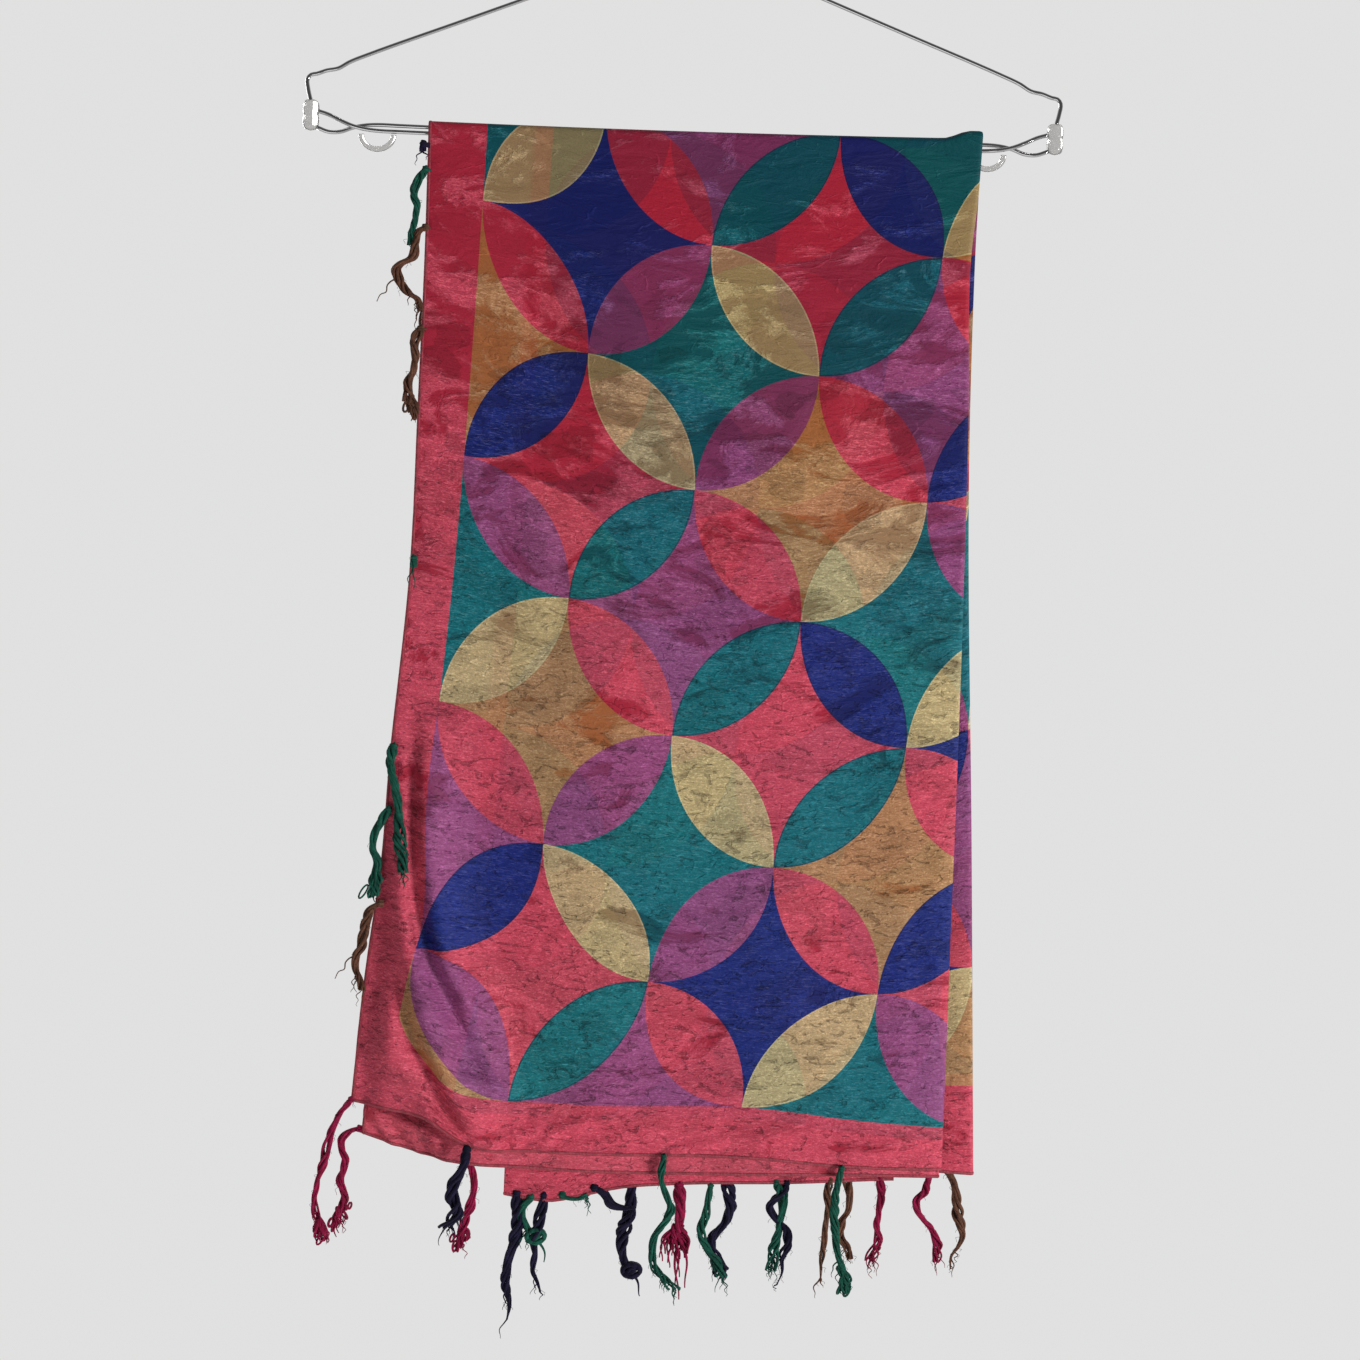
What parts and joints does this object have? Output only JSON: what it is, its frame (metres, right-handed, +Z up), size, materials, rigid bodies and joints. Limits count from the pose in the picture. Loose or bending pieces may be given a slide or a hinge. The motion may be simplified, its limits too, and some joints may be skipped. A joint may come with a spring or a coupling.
{
  "type": "headscarf on a wire hanger",
  "caption": "Square printed headscarf with yarn tassels, folded lengthwise in quarters and hung over the bar of a chrome wire hanger.",
  "frame": {"origin": "the inside top of the hanger's hook, where a rail or peg carries it", "axes": "+Z up, along the hanging scarf; +X to the right of someone facing the scarf, along the hanger's bar; +Y to the back, away from them"},
  "size_m": [0.4031, 0.0376, 0.8246],
  "materials": {
    "cloth": "crinkled satin print of overlapping circles in coral, teal, purple, navy blue, beige and ochre",
    "chrome": "polished wire",
    "clear": "clear soft plastic",
    "yarn_green": "twisted yarn, frayed at its end",
    "yarn_brown": "twisted yarn, frayed at its end",
    "yarn_magenta": "twisted yarn, frayed at its end",
    "yarn_navy": "twisted yarn, frayed at its end"
  },
  "bodies": {
    "root": {"hook": "chrome", "arm_left": "chrome", "arm_right": "chrome", "bar_front_wire": "chrome", "bar_back_wire": "chrome", "pad_left": "clear", "pad_right": "clear", "outer_layer": "cloth", "under_layer": "cloth", "inner_layers": "cloth", "tassel_front_hem_1": "yarn_magenta", "tassel_under_front_hem_1": "yarn_magenta", "tassel_front_hem_2": "yarn_navy", "tassel_back_hem_1": "yarn_magenta", "tassel_inner_hem_1": "yarn_navy", "tassel_inner_hem_2": "yarn_green", "tassel_inner_hem_3": "yarn_navy", "tassel_inner_hem_4": "yarn_green", "tassel_inner_hem_5": "yarn_navy", "tassel_back_hem_2": "yarn_navy", "tassel_front_hem_3": "yarn_green", "tassel_inner_hem_6": "yarn_magenta", "tassel_inner_hem_7": "yarn_green", "tassel_back_hem_3": "yarn_navy", "tassel_inner_hem_8": "yarn_green", "tassel_inner_hem_9": "yarn_navy", "tassel_front_hem_4": "yarn_green", "tassel_inner_hem_10": "yarn_brown", "tassel_back_hem_4": "yarn_brown", "tassel_inner_hem_11": "yarn_magenta", "tassel_under_front_hem_2": "yarn_magenta", "tassel_back_hem_5": "yarn_brown", "tassel_front_edge_1": "yarn_navy", "tassel_front_edge_2": "yarn_green", "tassel_front_edge_3": "yarn_brown", "tassel_front_edge_4": "yarn_brown", "tassel_front_edge_5": "yarn_green", "tassel_under_front_edge_1": "yarn_navy", "tassel_front_edge_6": "yarn_green", "tassel_under_front_edge_2": "yarn_navy", "tassel_front_edge_7": "yarn_green", "tassel_front_edge_8": "yarn_brown", "tassel_back_edge_1": "yarn_brown", "tassel_back_edge_2": "yarn_magenta", "tassel_back_edge_3": "yarn_green", "tassel_back_edge_4": "yarn_navy"}
  },
  "joints": []
}
